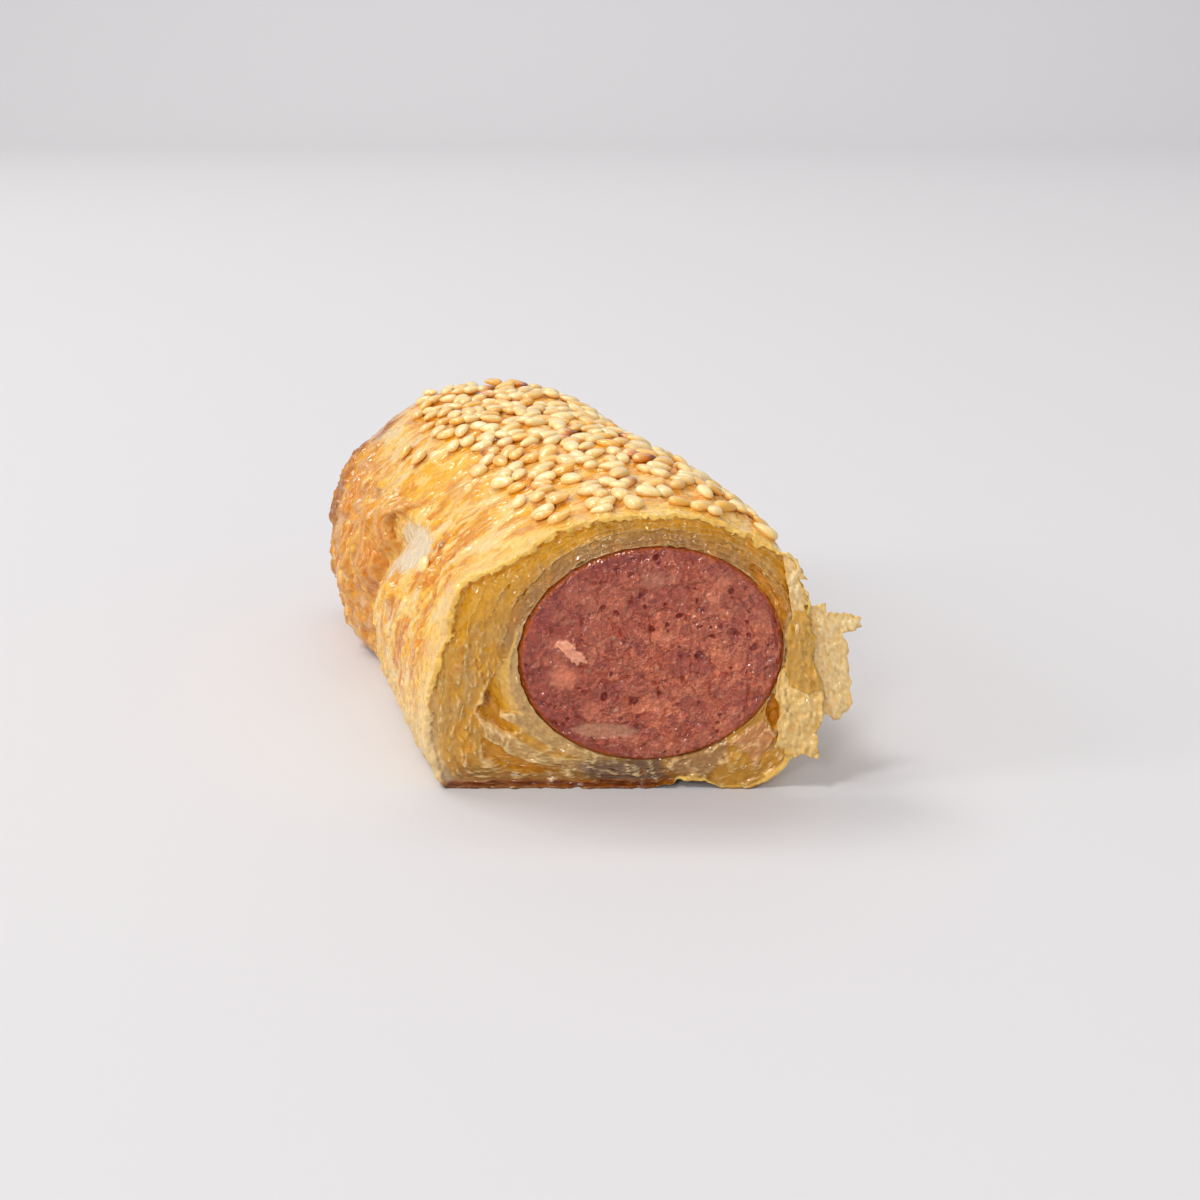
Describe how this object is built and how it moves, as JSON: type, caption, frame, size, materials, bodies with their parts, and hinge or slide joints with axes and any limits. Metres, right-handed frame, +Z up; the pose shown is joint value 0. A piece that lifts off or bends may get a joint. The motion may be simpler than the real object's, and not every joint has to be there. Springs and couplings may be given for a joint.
{
  "type": "sausage roll",
  "caption": "Half of a baked sausage roll, cut askew: laminated pastry jacket with sesame seeds and loose flakes at the cut, round a cooked pork sausage.",
  "frame": {"origin": "on the surface it rests on, under the middle of its overall box", "axes": "+Y along the roll from the cut to the baked end, +X to the right seen from the cut, +Z up"},
  "size_m": [0.0566, 0.1004, 0.0398],
  "materials": {
    "pastry": "satin",
    "sausage": "satin"
  },
  "bodies": {
    "root": {"pastry": "pastry", "sausage": "sausage"}
  },
  "joints": []
}
